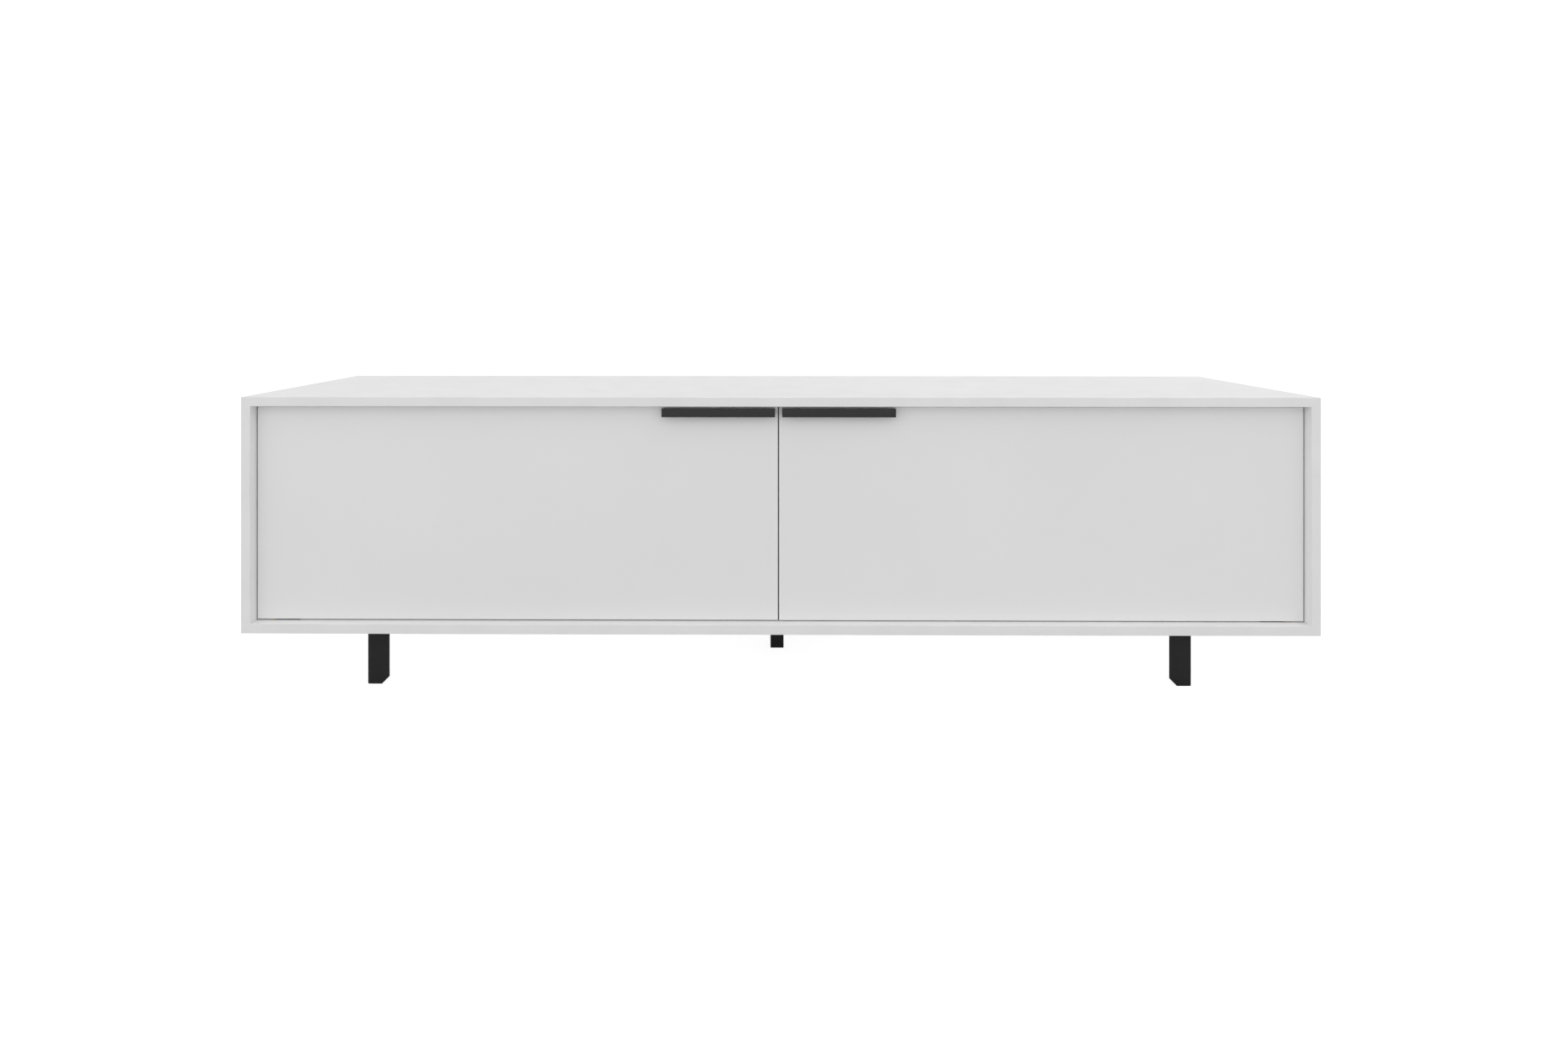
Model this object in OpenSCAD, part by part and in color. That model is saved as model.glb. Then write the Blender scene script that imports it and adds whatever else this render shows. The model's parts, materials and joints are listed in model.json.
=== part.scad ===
// Low television stand: a white board case on black steel legs, with two inset side-hung doors.
// The origin is on the floor, at the middle of the footprint. +X is to the viewer's right,
// -Y is the front and +Z is up.

/* [Case] */
// Overall width
case_w = 1800; // [1400:10:2200]
// Overall depth
case_d = 400; // [340:5:520]
// Height of the board case, without the legs
case_h = 396; // [320:2:520]
// Thickness of the case boards
board_t = 16; // [15:0.5:22]
// Thickness of the back panels
back_t = 3; // [2.5:0.5:5]
// Distance from the rear edges to the back panels
back_inset = 8; // [6:1:20]
// Depth of the grooves that hold the back panels
groove_depth = 5; // [4:0.5:6]
// Width and height of the cable cut-outs
cutout = [90, 45]; // [20:1:120]
// Corner radius of the cable cut-outs
cutout_r = 10; // [4:1:15]

/* [Shelves] */
// Thickness of the shelves
shelf_t = 16; // [12:1:22]
// Distance from the case front to the shelf fronts
shelf_setback = 70; // [60:5:120]
// Height of the lowest peg hole above the case floor
peg_row_start = 108; // [60:4:140]
// Peg holes in each row
peg_row_count = 5; // [3:1:7]
// Hole of each row that carries the shelf, counted from 0
peg_used = 2; // [0:1:2]
// Distance from a shelf's front and rear edges to the peg rows
peg_inset = 40; // [30:5:80]
// Diameter of the pegs in the boards
peg_d = 5; // [4:0.5:6]
// Diameter of the pegs under the shelves
peg_rest_d = 6.5; // [6:0.5:8]

/* [Doors] */
// Thickness of the doors
door_t = 16; // [14:0.5:20]
// Distance from the case front to the door fronts
door_recess = 17.5; // [16:0.5:40]
// Gap between a door and the side panel
side_gap = 2; // [1.8:0.1:4]
// Gap below the doors
bottom_gap = 2; // [1.5:0.1:4]
// Gap above the doors
top_gap = 2.2; // [1.8:0.1:6]
// Gap between the two doors
centre_gap = 2; // [2:0.1:5]
// Least distance between a door's hinge edge and the side panel as it swings
swing_clearance = 0.65; // [0.4:0.05:1]
// Thickness of the stick-on bumpers behind the doors
bumper_t = 2.2; // [1.5:0.1:4]
// Diameter of the bumpers
bumper_d = 6; // [5:0.5:7]

/* [Handles] */
// Length of each edge pull
handle_l = 190; // [100:5:400]
// Distance from a door's free edge to its pull
handle_end = 5; // [3:1:60]
// Distance from a door's top edge down to its pull
handle_drop = 1.8; // [1:0.1:40]
// Thickness of the pull's walls
handle_t = 2; // [1.5:0.1:3]
// How far the pull stands in front of the door
handle_reach = 14; // [10:0.5:15]
// Height of the pull's front lip
handle_lip_h = 14; // [10:0.5:25]
// Height of the flange against the door's front
handle_flange_h = 13; // [11:0.5:20]
// Outer corner radius of the pull
handle_r = 1; // [0.5:0.1:1.5]
// Screws in each pull
handle_screw_count = 3; // [2:1:5]

/* [Hinges] */
// Length of a hinge leaf, from the pin to its square end
leaf_l = 48; // [40:1:70]
// Width of a hinge leaf
leaf_w = 12; // [11:0.5:13]
// Thickness of a hinge leaf
leaf_t = 2; // [1.5:0.1:3]
// Diameter of the hinge pins
pin_d = 5; // [4:0.5:6]
// Length of the pin inside the door board
pin_reach = 6; // [4:0.5:12]
// Outer diameter of the hinge washers
washer_d = 11; // [9:0.5:12]

/* [Catches] */
// Distance from a pull's outer end to the middle of the door's catch
catch_offset = 44; // [30:1:100]
// Width, depth and height of a catch body
catch_body = [30, 15, 16]; // [12:1:60]
// Width and height of a strike plate
strike = [34, 13]; // [10:1:60]
// Thickness of a strike plate
strike_t = 1.2; // [1:0.1:2]

/* [Legs] */
// Height from the floor to the case
leg_h = 105; // [80:1:180]
// Width of each flange of a leg
leg_w = 37.5; // [32:0.5:60]
// Thickness of the leg steel
leg_t = 3; // [2:0.5:5]
// Size of the cut corner at a flange's foot
leg_chamfer = 12; // [0:0.5:12.5]
// Distance from the case sides to the legs
leg_inset_x = 191; // [60:1:400]
// Distance from the case front and rear to the legs
leg_inset_y = 45.5; // [20:0.5:80]
// Side of the fixing plates
plate_w = 60; // [56:1:80]
// Outer side of the centre leg's square tube
centre_leg_w = 25; // [20:0.5:30]
// Wall of the centre leg's tube
centre_leg_t = 1.5; // [1:0.1:3]
// Distance from the case front to the centre leg's front
centre_leg_setback = 202; // [120:1:240]
// Diameter of the foot pads
pad_d = 18; // [12:1:20]
// Thickness of the foot pads
pad_t = 2.5; // [2:0.1:4]

/* [Fasteners] */
// Diameter of the small countersunk screws
small_screw_d = 3; // [2.5:0.1:3.5]
// Diameter of the hinge screws
hinge_screw_d = 3.5; // [3:0.1:4]
// Diameter of the leg screws
leg_screw_d = 4; // [3.5:0.1:5]
// Diameter of the long partition screws
case_screw_d = 7; // [6:0.5:7]
// Length of the long partition screws
case_screw_l = 50; // [40:5:70]
// Long screws and dowels along the partition
partition_fixings = 3; // [2:1:5]
// Diameter of the corner dowels
mitre_dowel_d = 6; // [4:0.5:6]
// Length of the corner dowels
mitre_dowel_l = 18; // [12:1:18]
// Dowels in each mitred corner
mitre_dowel_count = 4; // [3:1:6]
// Diameter of the partition dowels
dowel_d = 8; // [6:0.5:8]
// Length of the partition dowels
dowel_l = 28; // [20:1:40]

/* [Hidden] */
$fn = 48;

// Board left past the ends of screws and dowels
screw_cover = 4;       // short screws
frame_screw_cover = 2; // hinge screws in the case
leg_screw_cover = 5;   // leg screws
dowel_cover = 6;       // partition dowels in the top panel

// Clearances
eps = 0.01;           // how far a cutter runs past a face
screw_fit = 0.05;     // round a screw, dowel or peg
press_fit = 0.02;     // round a hinge pin in its frame leaf
pin_fit = 0.05;       // round a hinge pin in its door leaf
pin_bore_room = 0.5;  // round and past a hinge pin in the door board
peg_hole_room = 0.5;  // past a shelf peg in its hole
plate_hole_fit = 0.2; // round a leg screw in its plate
pocket_fit = 0.1;     // round a leaf, catch part or tube insert
moving_gap = 0.3;     // between a door's parts and the fixed parts they pass
shelf_gap = 1.4;      // between a shelf's ends and the boards beside it
shelf_back_gap = 2;   // between a shelf and the back panel
groove_play = 0.2;    // by which a groove is wider than its back panel
groove_end_gap = 0.5; // left in a groove past the panel's edge

// Case
front_y = -case_d / 2;
rear_y = case_d / 2;
floor_z = leg_h + board_t;
case_top_z = leg_h + case_h;
ceiling_z = case_top_z - board_t;
inner_x = case_w / 2 - board_t;
inner_h = ceiling_z - floor_z;
groove_y = rear_y - back_inset - back_t - groove_play;

// Doors
door_front_y = front_y + door_recess;
door_back_y = door_front_y + door_t;
door_outer_x = -inner_x + side_gap;
door_inner_x = -centre_gap / 2;
door_bottom_z = floor_z + bottom_gap;
door_top_z = ceiling_z - top_gap;
partition_front_y = door_back_y + moving_gap + bumper_t;
bumper_inset = 30;
bumper_count = 3;

// A pin this far in from the hinge edge lets the edge's front corner pass the side panel
swing_room = side_gap - swing_clearance;
hinge_setback = (pow(door_t / 2, 2) - pow(swing_room, 2)) / (2 * swing_room);
hinge_x = door_outer_x + hinge_setback;
hinge_y = door_front_y + door_t / 2;
leaf_screw_shift = 4;
leaf_screw_end = 8;
leaf_screw_at = [leaf_l / 2 - leaf_screw_shift, leaf_l - leaf_screw_end];
frame_screw_l = board_t - frame_screw_cover;
door_screw_l = 25;
pin_tip = 0.6;

// Handles
handle_x1 = door_inner_x - handle_end;
handle_x0 = handle_x1 - handle_l;
handle_top_z = door_top_z - handle_drop;
handle_screw_end = 15;
handle_screw_drop = (handle_flange_h + handle_t) / 2;
handle_screw_pitch = (handle_l - 2 * handle_screw_end) / (handle_screw_count - 1);
handle_screw_l = door_t + handle_t;

// Catches
catch_x = handle_x0 - catch_offset;
ear_l = 8;
ear_t = 3;
pole_t = 1.2;
pole_tip = 1;
magnet_side_wall = 3;
magnet_rear_wall = 4;
magnet_h = 6;
magnet = [catch_body[0] - 2 * magnet_side_wall, catch_body[1] - magnet_rear_wall, magnet_h];
magnet_drop = 11;
catch_screw_l = board_t - screw_cover;
strike_screw_l = door_t - screw_cover;
strike_y = door_back_y + strike_t;
catch_front_y = strike_y + moving_gap + pole_tip;

// Shelves
peg_pitch = 32;
peg_depth = 7;
peg_collar_d = 9;
peg_collar_t = 1;
peg_rest_l = 9;
shelf_z = floor_z + peg_row_start + peg_used * peg_pitch + peg_rest_d / 2;
shelf_front_y = front_y + shelf_setback;
shelf_rear_y = groove_y - shelf_back_gap;
peg_rows = [shelf_front_y + peg_inset, shelf_rear_y - peg_inset];

// Legs
flange_lift = 1;
tab_w = 22;
bend_r = leg_t + 1;
plate_hole = 14;
glide_t = 4;
glide_plug = 15;
leg_screw_l = leg_t + board_t - leg_screw_cover;
centre_leg_y = front_y + centre_leg_setback + centre_leg_w / 2;

// Each screw is [shank diameter, head diameter, head height]
case_head_extra = 3;
case_head_h = 4;
small_screw = [small_screw_d, 2 * small_screw_d, small_screw_d / 2];
hinge_screw = [hinge_screw_d, 1.8 * hinge_screw_d, 0.45 * hinge_screw_d];
case_screw = [case_screw_d, case_screw_d + case_head_extra, case_head_h];
leg_screw_head = [2 * leg_screw_d, 0.6 * leg_screw_d];

// Cross recess, as parts of a head's diameter and height
recess_width = 0.55;
recess_depth = 0.65;
recess_arm = 0.25; // arm thickness as a part of the recess width

// Partition and corner joints
partition_fixing_inset = 40;
dowel_in_top = board_t - dowel_cover;
mitre_heel = 7.5;
mitre_end_inset = 28;

function even(first, last, count) =
    [for (k = [0:count - 1]) first + k * (last - first) / (count - 1)];
partition_y = even(partition_front_y + partition_fixing_inset, groove_y - partition_fixing_inset,
                   partition_fixings);
mitre_y = even(front_y + mitre_end_inset, rear_y - mitre_end_inset, mitre_dowel_count);

white = [0.96, 0.96, 0.96];
black = [0.16, 0.16, 0.16];
nickel = [0.72, 0.71, 0.68];
beech = [0.82, 0.68, 0.47];

// Helpers

module on_side(side) {
    if (side == "right") mirror([1, 0, 0]) children();
    else children();
}

// Extrudes an outline in X and Z along Y
module along_y(y0, y1) {
    translate([0, y1, 0]) rotate([90, 0, 0]) linear_extrude(y1 - y0) children();
}

// Extrudes an outline in Y and Z along X
module along_x(x0, x1) {
    translate([x0, 0, 0]) rotate([90, 0, 90]) linear_extrude(x1 - x0) children();
}

// A box given by its lowest and highest corners
module block(low, high) {
    translate(low) cube(high - low);
}

module rounded_slot(size, r, depth) {
    for (x = [-1, 1], y = [-1, 1])
        translate([x * (size[0] / 2 - r), y * (size[1] / 2 - r), 0]) cylinder(h = depth, r = r);
    translate([-size[0] / 2, -size[1] / 2 + r, 0]) cube([size[0], size[1] - 2 * r, depth]);
    translate([-size[0] / 2 + r, -size[1] / 2, 0]) cube([size[0] - 2 * r, size[1], depth]);
}

module cross_recess(head_d, head_h) {
    width = recess_width * head_d;
    arm = recess_arm * width;
    depth = recess_depth * head_h;
    for (turn = [0, 90])
        rotate([0, 0, turn]) translate([-width / 2, -arm / 2, -depth]) cube([width, arm, depth + eps]);
}

// A countersunk screw with the top of its head at the origin, pointing down
module countersunk_screw(screw, length) {
    difference() {
        union() {
            translate([0, 0, -screw[2]]) cylinder(h = screw[2], d1 = screw[0], d2 = screw[1]);
            translate([0, 0, -length + screw[0] / 2])
                cylinder(h = length - screw[0] / 2 - screw[2], d = screw[0]);
            translate([0, 0, -length]) cylinder(h = screw[0] / 2, d1 = screw[0] / 4, d2 = screw[0]);
        }
        cross_recess(screw[1], screw[2]);
    }
}

module countersunk_hole(screw, length) {
    translate([0, 0, -length - screw_fit])
        cylinder(h = length + screw_fit + eps, d = screw[0] + 2 * screw_fit);
    translate([0, 0, -screw[2]])
        cylinder(h = screw[2] + eps, d1 = screw[0] + 2 * screw_fit, d2 = screw[1] + 2 * screw_fit);
}

// A peg hole or dowel hole from the origin upwards
module blind_hole(d, depth) {
    translate([0, 0, -eps]) cylinder(h = depth + eps, d = d + 2 * screw_fit);
}

// Where things are

module at_hinge(side, end) {
    on_side(side)
        if (end == "top") translate([hinge_x, hinge_y, ceiling_z]) mirror([0, 0, 1]) children();
        else translate([hinge_x, hinge_y, floor_z]) children();
}

function hinge_gap(end) = end == "top" ? top_gap : bottom_gap;

module at_leaf_screws() {
    for (x = leaf_screw_at) translate([x, 0, 0]) children();
}

module at_handle_screws() {
    for (k = [0:handle_screw_count - 1])
        translate([handle_x0 + handle_screw_end + k * handle_screw_pitch, door_back_y,
                   handle_top_z - handle_screw_drop])
            rotate([-90, 0, 0]) children();
}

module at_strike_screw() {
    translate([catch_x, strike_y, ceiling_z - magnet_drop]) rotate([-90, 0, 0]) children();
}

module at_catch_screws() {
    for (x = [-1, 1])
        translate([catch_x + x * (catch_body[0] + ear_l) / 2, catch_front_y + catch_body[1] / 2,
                   ceiling_z - ear_t])
            rotate([180, 0, 0]) children();
}

// The four corners' dowels, at the middle of each dowel and pointing into the top or bottom board
module at_mitres() {
    heel = mitre_heel / sqrt(2);
    for (side = ["left", "right"], end = [-1, 1], y = mitre_y)
        on_side(side)
            translate([-inner_x - heel, y, end > 0 ? ceiling_z + heel : floor_z - heel])
                rotate([0, end > 0 ? 45 : 135, 0]) children();
}

module at_partition_fixings(z) {
    for (y = partition_y) translate([0, y, z]) children();
}

module at_peg_holes(x, holes) {
    for (y = peg_rows, k = holes)
        translate([x, y, floor_z + peg_row_start + k * peg_pitch]) rotate([0, 90, 0]) children();
}

// A leg's outer corner, with +X and +Y pointing inwards
module at_leg(side, end) {
    on_side(side)
        mirror([0, end == "rear" ? 1 : 0, 0])
            translate([-case_w / 2 + leg_inset_x, front_y + leg_inset_y, 0]) children();
}

module at_plate_holes(w) {
    for (x = [plate_hole, w - plate_hole], y = [plate_hole, w - plate_hole])
        translate([x, y, 0]) children();
}

module at_centre_plate() {
    translate([-plate_w / 2, centre_leg_y - plate_w / 2, 0]) children();
}

module at_every_plate() {
    for (side = ["left", "right"], end = ["front", "rear"])
        at_leg(side, end) at_plate_holes(plate_w) children();
    at_centre_plate() at_plate_holes(plate_w) children();
}

// Case

module horizontal_board(outer_z, inner_z) {
    along_y(front_y, rear_y)
        polygon([[-case_w / 2, outer_z], [case_w / 2, outer_z], [inner_x, inner_z], [-inner_x, inner_z]]);
}

module mitre_holes() {
    at_mitres() translate([0, 0, -mitre_dowel_l / 2 - screw_fit])
        cylinder(h = mitre_dowel_l + 2 * screw_fit, d = mitre_dowel_d + 2 * screw_fit);
}

module leaf_outline(grow) {
    circle(r = leaf_w / 2 + grow);
    translate([0, -leaf_w / 2 - grow]) square([leaf_l + grow, leaf_w + 2 * grow]);
}

module frame_leaf_pockets(end) {
    for (side = ["left", "right"])
        at_hinge(side, end) {
            translate([0, 0, -leaf_t]) linear_extrude(leaf_t + eps) leaf_outline(pocket_fit);
            at_leaf_screws() countersunk_hole(hinge_screw, frame_screw_l);
        }
}

module top_panel() {
    color(white) difference() {
        horizontal_board(case_top_z, ceiling_z);
        block([-case_w / 2, groove_y, ceiling_z - eps],
              [case_w / 2, groove_y + back_t + groove_play, ceiling_z + groove_depth]);
        mitre_holes();
        at_partition_fixings(ceiling_z) blind_hole(dowel_d, dowel_in_top + screw_fit);
        frame_leaf_pockets("top");
        for (side = ["left", "right"])
            on_side(side) at_catch_screws() countersunk_hole(small_screw, catch_screw_l);
    }
}

module bottom_panel() {
    color(white) difference() {
        horizontal_board(leg_h, floor_z);
        block([-case_w / 2, groove_y, floor_z - groove_depth],
              [case_w / 2, groove_y + back_t + groove_play, floor_z + eps]);
        mitre_holes();
        at_partition_fixings(leg_h) rotate([180, 0, 0]) countersunk_hole(case_screw, case_screw_l);
        frame_leaf_pockets("bottom");
        at_every_plate() translate([0, 0, leg_h]) blind_hole(leg_screw_d, leg_screw_l - leg_t + screw_fit);
    }
}

module side_panel(side) {
    color(white) on_side(side) difference() {
        along_y(front_y, rear_y)
            polygon([[-case_w / 2, leg_h], [-inner_x, floor_z],
                     [-inner_x, ceiling_z], [-case_w / 2, case_top_z]]);
        block([-inner_x - groove_depth, groove_y, leg_h],
              [-inner_x + eps, groove_y + back_t + groove_play, case_top_z]);
        mitre_holes();
        at_peg_holes(-inner_x, [0:peg_row_count - 1])
            mirror([0, 0, 1]) blind_hole(peg_d, peg_depth + peg_hole_room);
    }
}

module centre_partition() {
    color(white) difference() {
        block([-board_t / 2, partition_front_y, floor_z], [board_t / 2, rear_y, ceiling_z]);
        for (side = ["left", "right"]) on_side(side) {
            block([-board_t / 2 - eps, groove_y, floor_z - eps],
                  [-board_t / 2 + groove_depth, groove_y + back_t + groove_play, ceiling_z + eps]);
            at_peg_holes(-board_t / 2, [0:peg_row_count - 1]) blind_hole(peg_d, peg_depth + peg_hole_room);
        }
        at_partition_fixings(ceiling_z)
            mirror([0, 0, 1]) blind_hole(dowel_d, dowel_l - dowel_in_top + screw_fit);
        at_partition_fixings(leg_h) rotate([180, 0, 0]) countersunk_hole(case_screw, case_screw_l);
    }
}

module shelf(side) {
    color(white) on_side(side)
        block([-inner_x + shelf_gap, shelf_front_y, shelf_z],
              [-board_t / 2 - shelf_gap, shelf_rear_y, shelf_z + shelf_t]);
}

module back_panel(side) {
    reach = groove_depth - groove_end_gap;
    lower_z = (floor_z + shelf_z) / 2;
    upper_z = (shelf_z + shelf_t + ceiling_z) / 2;
    color(white) on_side(side) difference() {
        block([-inner_x - reach, groove_y + groove_play / 2, floor_z - reach],
              [-board_t / 2 + reach, groove_y + groove_play / 2 + back_t, ceiling_z + reach]);
        for (z = [lower_z, upper_z])
            translate([-(inner_x + board_t / 2) / 2, groove_y + back_t + groove_play, z])
                rotate([90, 0, 0]) rounded_slot(cutout, cutout_r, back_t + 2 * groove_play);
    }
}

module mitre_dowels() {
    color(beech) at_mitres()
        translate([0, 0, -mitre_dowel_l / 2]) cylinder(h = mitre_dowel_l, d = mitre_dowel_d);
}

module partition_dowels() {
    color(beech) at_partition_fixings(ceiling_z + dowel_in_top)
        mirror([0, 0, 1]) cylinder(h = dowel_l, d = dowel_d);
}

module partition_screws() {
    color(nickel) at_partition_fixings(leg_h)
        rotate([180, 0, 0]) countersunk_screw(case_screw, case_screw_l);
}

// A peg along +Z, with the board's face at the origin
module shelf_peg() {
    translate([0, 0, -peg_depth]) cylinder(h = peg_depth, d = peg_d);
    cylinder(h = peg_collar_t, d = peg_collar_d);
    cylinder(h = peg_rest_l, d = peg_rest_d);
}

module shelf_pegs(side) {
    color(nickel) on_side(side) {
        at_peg_holes(-inner_x, [peg_used]) shelf_peg();
        at_peg_holes(-board_t / 2, [peg_used]) mirror([0, 0, 1]) shelf_peg();
    }
}

// Doors

module door_leaf_pocket(side, end) {
    at_hinge(side, end) translate([0, 0, hinge_gap(end)]) {
        translate([0, 0, -eps]) linear_extrude(leaf_t + eps) leaf_outline(pocket_fit);
        cylinder(h = leaf_t + pin_reach + pin_bore_room, d = pin_d + 2 * pin_bore_room);
        at_leaf_screws() rotate([180, 0, 0]) countersunk_hole(hinge_screw, door_screw_l);
    }
}

module door_panel(side) {
    color(white) difference() {
        on_side(side) difference() {
            block([door_outer_x, door_front_y, door_bottom_z], [door_inner_x, door_back_y, door_top_z]);
            at_handle_screws() countersunk_hole(small_screw, handle_screw_l);
            at_strike_screw() countersunk_hole(small_screw, strike_screw_l);
        }
        for (end = ["bottom", "top"]) door_leaf_pocket(side, end);
    }
}

// The pull's channel section in Y and Z, measured from the door front and the pull's top
module handle_section() {
    translate([-handle_reach + handle_r, -handle_t]) square([handle_reach - handle_r, handle_t]);
    translate([-handle_reach, -handle_lip_h]) square([handle_t, handle_lip_h - handle_r]);
    translate([-handle_t, -handle_flange_h]) square([handle_t, handle_flange_h]);
    translate([-handle_reach + handle_r, -handle_r]) circle(r = handle_r);
}

module handle(side) {
    color(black) on_side(side) difference() {
        along_x(handle_x0, handle_x1) translate([door_front_y, handle_top_z]) handle_section();
        at_handle_screws() countersunk_hole(small_screw, handle_screw_l);
    }
}

module handle_screws(side) {
    color(black) on_side(side) at_handle_screws() countersunk_screw(small_screw, handle_screw_l);
}

module door_leaf(side, end) {
    color(nickel) at_hinge(side, end) translate([0, 0, hinge_gap(end)]) difference() {
        linear_extrude(leaf_t) leaf_outline(0);
        translate([0, 0, -eps]) cylinder(h = leaf_t + 2 * eps, d = pin_d + 2 * pin_fit);
        at_leaf_screws() rotate([180, 0, 0]) countersunk_hole(hinge_screw, door_screw_l);
    }
}

module frame_leaf(side, end) {
    color(nickel) at_hinge(side, end) translate([0, 0, -leaf_t]) difference() {
        linear_extrude(leaf_t) leaf_outline(0);
        translate([0, 0, -eps]) cylinder(h = leaf_t + 2 * eps, d = pin_d + 2 * press_fit);
        translate([0, 0, leaf_t]) at_leaf_screws() countersunk_hole(hinge_screw, frame_screw_l);
    }
}

module hinge_pin(side, end) {
    length = leaf_t + hinge_gap(end) + leaf_t + pin_reach;
    color(nickel) at_hinge(side, end) translate([0, 0, -leaf_t]) {
        cylinder(h = length - pin_tip, d = pin_d);
        translate([0, 0, length - pin_tip]) cylinder(h = pin_tip, d1 = pin_d, d2 = pin_d - 2 * pin_tip);
    }
}

module hinge_washer(side, end) {
    color(nickel) at_hinge(side, end) difference() {
        cylinder(h = hinge_gap(end) - moving_gap, d = washer_d);
        translate([0, 0, -eps]) cylinder(h = hinge_gap(end), d = pin_d + 2 * pin_fit);
    }
}

module door_hinge_screws(side) {
    color(nickel) for (end = ["bottom", "top"])
        at_hinge(side, end) translate([0, 0, hinge_gap(end)])
            at_leaf_screws() rotate([180, 0, 0]) countersunk_screw(hinge_screw, door_screw_l);
}

module frame_hinge_screws() {
    color(nickel) for (side = ["left", "right"], end = ["bottom", "top"])
        at_hinge(side, end) at_leaf_screws() countersunk_screw(hinge_screw, frame_screw_l);
}

// Catches and bumpers

// Magnet and pole plates, stacked in Z, grown by a clearance for their pocket
module catch_stack(part, grow) {
    low = [catch_x - magnet[0] / 2, catch_front_y, ceiling_z - magnet_drop - magnet[2] / 2];
    tall = magnet[2];
    if (part == "magnet")
        block(low, low + magnet);
    if (part == "poles")
        for (z = [-pole_t, tall])
            block(low + [0, -pole_tip, z], low + [magnet[0], magnet[1], z + pole_t]);
    if (part == "pocket")
        block(low + [-grow, -eps, -pole_t - grow],
              low + [magnet[0] + grow, magnet[1] + grow, tall + pole_t + grow]);
}

module catch_body(side) {
    color(white) on_side(side) difference() {
        union() {
            translate([catch_x - catch_body[0] / 2, catch_front_y, ceiling_z - catch_body[2]])
                cube(catch_body);
            translate([catch_x - catch_body[0] / 2 - ear_l, catch_front_y, ceiling_z - ear_t])
                cube([catch_body[0] + 2 * ear_l, catch_body[1], ear_t]);
        }
        catch_stack("pocket", pocket_fit);
        at_catch_screws() countersunk_hole(small_screw, catch_screw_l);
    }
}

module catch_magnet(side) {
    color(black) on_side(side) catch_stack("magnet", 0);
}

module catch_poles(side) {
    color(nickel) on_side(side) catch_stack("poles", 0);
}

module catch_screws() {
    color(nickel) for (side = ["left", "right"])
        on_side(side) at_catch_screws() countersunk_screw(small_screw, catch_screw_l);
}

module strike_plate(side) {
    color(nickel) on_side(side) difference() {
        block([catch_x - strike[0] / 2, door_back_y, ceiling_z - magnet_drop - strike[1] / 2],
              [catch_x + strike[0] / 2, strike_y, ceiling_z - magnet_drop + strike[1] / 2]);
        at_strike_screw() countersunk_hole(small_screw, strike_screw_l);
    }
}

module strike_screw(side) {
    color(nickel) on_side(side) at_strike_screw() countersunk_screw(small_screw, strike_screw_l);
}

module door_bumpers() {
    heights = even(floor_z + bumper_inset, ceiling_z - bumper_inset, bumper_count);
    color("gainsboro") for (side = ["left", "right"], z = heights)
        on_side(side) translate([-board_t / 4, partition_front_y, z])
            rotate([90, 0, 0]) cylinder(h = bumper_t, d = bumper_d);
}

// Legs

// Plan of a folded angle, with its outer corner at the origin
module angle_plan() {
    difference() {
        union() {
            translate([bend_r, 0]) square([leg_w - bend_r, leg_w]);
            translate([0, bend_r]) square([leg_w, leg_w - bend_r]);
            translate([bend_r, bend_r]) circle(r = bend_r);
        }
        translate([bend_r, leg_t]) square([leg_w, leg_w]);
        translate([leg_t, bend_r]) square([leg_w, leg_w]);
        translate([bend_r, bend_r]) circle(r = bend_r - leg_t);
    }
}

module foot_corner_cut() {
    polygon([[leg_w - leg_chamfer, -eps], [leg_w + eps, -eps], [leg_w + eps, leg_chamfer]]);
}

module fixing_plate(z) {
    difference() {
        translate([0, 0, z]) cube([plate_w, plate_w, leg_t]);
        at_plate_holes(plate_w)
            translate([0, 0, z - eps]) cylinder(h = leg_t + 2 * eps, d = leg_screw_d + 2 * plate_hole_fit);
    }
}

module leg(side, end) {
    color(black) at_leg(side, end) {
        difference() {
            translate([0, 0, flange_lift]) linear_extrude(leg_h - leg_t - flange_lift) angle_plan();
            translate([0, 0, flange_lift]) {
                along_y(-eps, leg_t + eps) foot_corner_cut();
                along_x(-eps, leg_t + eps) foot_corner_cut();
            }
        }
        fixing_plate(leg_h - leg_t);
        translate([leg_t / 2, leg_t / 2, pad_t]) cube([tab_w + leg_t / 2, tab_w + leg_t / 2, leg_t]);
    }
}

module foot_pads() {
    color(black) for (side = ["left", "right"], end = ["front", "rear"])
        at_leg(side, end)
            translate([leg_t + tab_w / 2, leg_t + tab_w / 2, 0]) cylinder(h = pad_t, d = pad_d);
}

module centre_leg() {
    half = centre_leg_w / 2;
    bore = centre_leg_w - 2 * centre_leg_t;
    color(black) {
        at_centre_plate() fixing_plate(leg_h - leg_t);
        difference() {
            block([-half, centre_leg_y - half, glide_t], [half, centre_leg_y + half, leg_h - leg_t]);
            block([-bore / 2, centre_leg_y - bore / 2, glide_t - eps],
                  [bore / 2, centre_leg_y + bore / 2, leg_h - leg_t]);
        }
    }
}

module centre_leg_glide() {
    half = centre_leg_w / 2;
    plug = half - centre_leg_t - pocket_fit;
    color(black) {
        block([-half, centre_leg_y - half, 0], [half, centre_leg_y + half, glide_t]);
        block([-plug, centre_leg_y - plug, glide_t], [plug, centre_leg_y + plug, glide_t + glide_plug]);
    }
}

module leg_screws() {
    color(nickel) at_every_plate() translate([0, 0, leg_h - leg_t]) difference() {
        union() {
            translate([0, 0, -leg_screw_head[1]]) cylinder(h = leg_screw_head[1], d = leg_screw_head[0]);
            cylinder(h = leg_screw_l, d = leg_screw_d);
        }
        translate([0, 0, -leg_screw_head[1]]) rotate([180, 0, 0])
            cross_recess(leg_screw_head[0], leg_screw_head[1]);
    }
}

// One line for each node

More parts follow.
